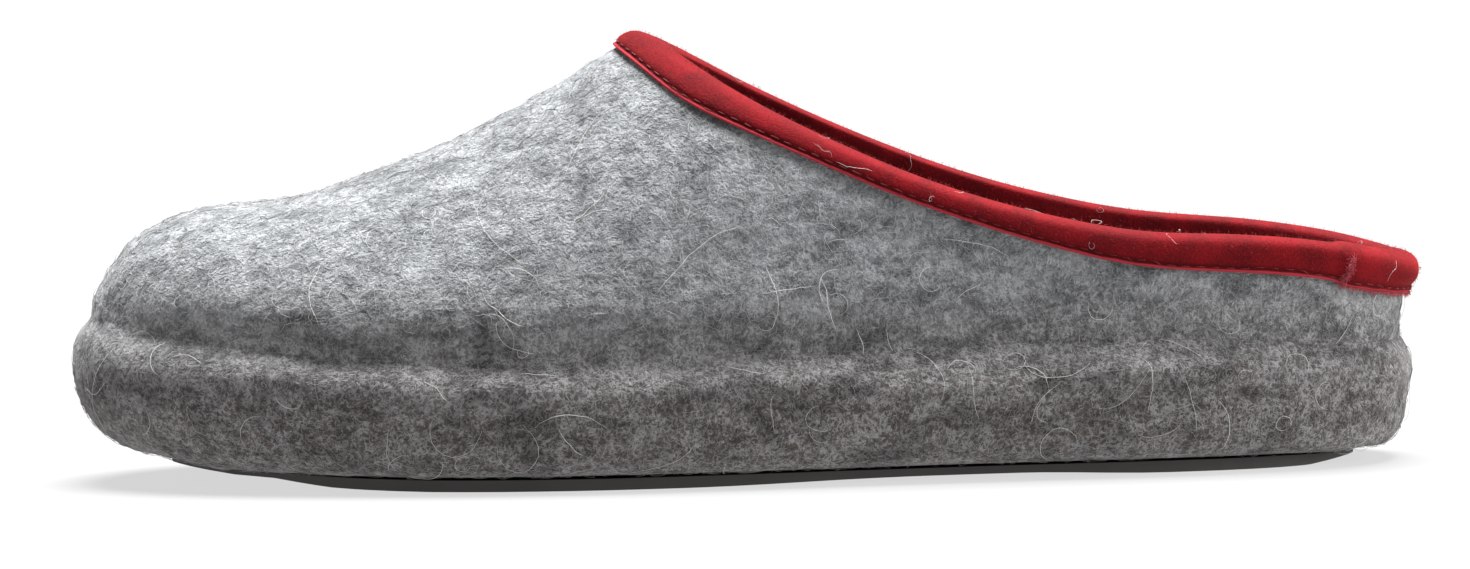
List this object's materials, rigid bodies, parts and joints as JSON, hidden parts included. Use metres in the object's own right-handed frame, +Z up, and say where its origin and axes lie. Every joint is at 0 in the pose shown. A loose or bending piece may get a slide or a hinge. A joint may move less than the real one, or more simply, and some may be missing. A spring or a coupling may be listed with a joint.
{
  "type": "felt slipper",
  "caption": "Left slip-on slipper of grey wool felt with a low back, a thick felt sole, a thin dark outsole and a red tape binding round the collar.",
  "frame": {"origin": "on the floor, under the centre of the slipper's bounding box", "axes": "-X towards the toe, +X towards the heel, -Y towards the outer side of the foot, +Z up"},
  "size_m": [0.2826, 0.1018, 0.0927],
  "materials": {
    "outsole": "matt, smooth",
    "sole_felt": "dark grey heather wool felt",
    "upper_felt": "grey heather wool felt",
    "footbed_felt": "grey wool felt",
    "binding": "red velvet tape"
  },
  "bodies": {
    "root": {"outsole": "outsole", "felt_sole": "sole_felt", "upper": "upper_felt", "footbed": "footbed_felt", "binding": "binding"}
  },
  "joints": []
}
